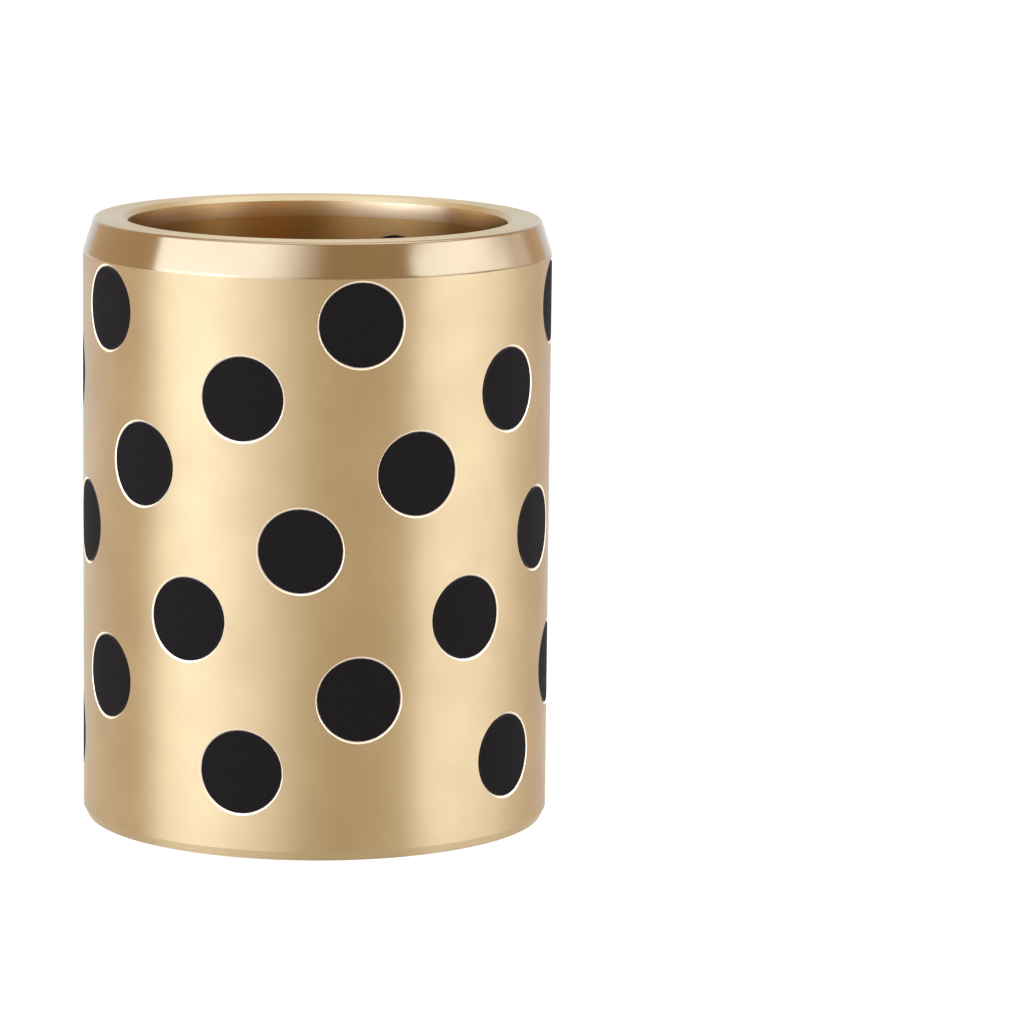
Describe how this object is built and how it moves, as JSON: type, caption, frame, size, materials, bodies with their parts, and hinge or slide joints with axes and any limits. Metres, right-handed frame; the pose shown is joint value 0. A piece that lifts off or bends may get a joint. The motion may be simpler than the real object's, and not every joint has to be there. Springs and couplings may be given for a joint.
{
  "type": "graphite plugged bushing",
  "caption": "Plain sleeve bearing with rings of graphite plugs set flush through its wall and a long lead-in chamfer at one end; it carries a turning or sliding shaft without oil.",
  "frame": {"origin": "centre of the plain end face that the bushing stands on, on the bore's axis", "axes": "+Z along the bore towards the end with the long lead-in chamfer; the first ring's front plug lies about 11 degrees round from -Y towards +X"},
  "size_m": [0.062, 0.062, 0.08],
  "materials": {
    "cast_bronze": "satin",
    "graphite": "satin"
  },
  "bodies": {
    "root": {"sleeve": "cast_bronze", "plug_row1_1": "graphite", "plug_row1_2": "graphite", "plug_row1_3": "graphite", "plug_row1_4": "graphite", "plug_row1_5": "graphite", "plug_row2_1": "graphite", "plug_row2_2": "graphite", "plug_row2_3": "graphite", "plug_row2_4": "graphite", "plug_row2_5": "graphite", "plug_row3_1": "graphite", "plug_row3_2": "graphite", "plug_row3_3": "graphite", "plug_row3_4": "graphite", "plug_row3_5": "graphite", "plug_row4_1": "graphite", "plug_row4_2": "graphite", "plug_row4_3": "graphite", "plug_row4_4": "graphite", "plug_row4_5": "graphite", "plug_row5_1": "graphite", "plug_row5_2": "graphite", "plug_row5_3": "graphite", "plug_row5_4": "graphite", "plug_row5_5": "graphite", "plug_row6_1": "graphite", "plug_row6_2": "graphite", "plug_row6_3": "graphite", "plug_row6_4": "graphite", "plug_row6_5": "graphite", "plug_row7_1": "graphite", "plug_row7_2": "graphite", "plug_row7_3": "graphite", "plug_row7_4": "graphite", "plug_row7_5": "graphite"}
  },
  "joints": []
}
